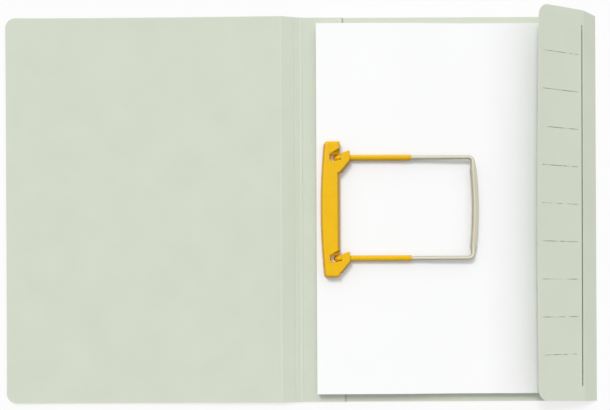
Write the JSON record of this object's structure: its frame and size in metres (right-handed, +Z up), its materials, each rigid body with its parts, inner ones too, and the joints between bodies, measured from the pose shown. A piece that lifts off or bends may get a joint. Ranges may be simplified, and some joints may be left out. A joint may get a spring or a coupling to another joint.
{
  "type": "clip folder",
  "caption": "Card filing folder lying open, with a folding side flap and a glued-in plastic clip whose hooked lock bar and U-shaped bow hold a pile of punched sheets.",
  "frame": {"origin": "on the desk, under the middle of the open folder's bounding box", "axes": "+X from the spine to the side flap, +Y to the head of the folder, +Z up from the desk"},
  "size_m": [0.4804, 0.313, 0.0223],
  "materials": {
    "card": "matte, lightly calendered",
    "paper": "matte, uncoated",
    "yellow_plastic": "smooth moulded, slightly translucent",
    "cream_plastic": "smooth moulded, translucent"
  },
  "bodies": {
    "back": {"back_cover": "card", "glue_strip": "card", "clip_base": "yellow_plastic", "lock_bar": "yellow_plastic", "paper_pile": "paper", "top_sheet": "paper"},
    "spine": {"spine_panel": "card"},
    "front": {"front_cover": "card"},
    "gusset": {"side_gusset": "card"},
    "flap": {"side_flap": "card"},
    "arms": {"upper_tube": "yellow_plastic", "lower_tube": "yellow_plastic"},
    "bow": {"transfer_bow": "cream_plastic"}
  },
  "joints": [
    {"name": "spine_fold", "type": "hinge", "parent": "back", "child": "spine", "pos_m": [0.00007, 0, 0.0011], "axis": [0, 1, 0], "range_deg": [0, 81]},
    {"name": "cover_fold", "type": "hinge", "parent": "spine", "child": "front", "pos_m": [-0.01623, 0, 0.00368], "axis": [0, 1, 0], "range_deg": [0, 99.8]},
    {"name": "gusset_fold", "type": "hinge", "parent": "back", "child": "gusset", "pos_m": [0.24007, 0, 0.0005], "axis": [0, 1, 0], "range_deg": [-3, 148.5]},
    {"name": "flap_fold", "type": "hinge", "parent": "gusset", "child": "flap", "pos_m": [0.22472, 0, 0.00991], "axis": [0, 1, 0], "range_deg": [-10, 15.3]},
    {"name": "arms_lift", "type": "hinge", "parent": "back", "child": "arms", "pos_m": [0.03837, -0.0005, 0.01355], "axis": [0, 1, 0], "range_deg": [-90, 0]},
    {"name": "bow_slide", "type": "slide", "parent": "arms", "child": "bow", "axis": [1, 0, 0], "range_m": [-0.016, 0.028]}
  ]
}
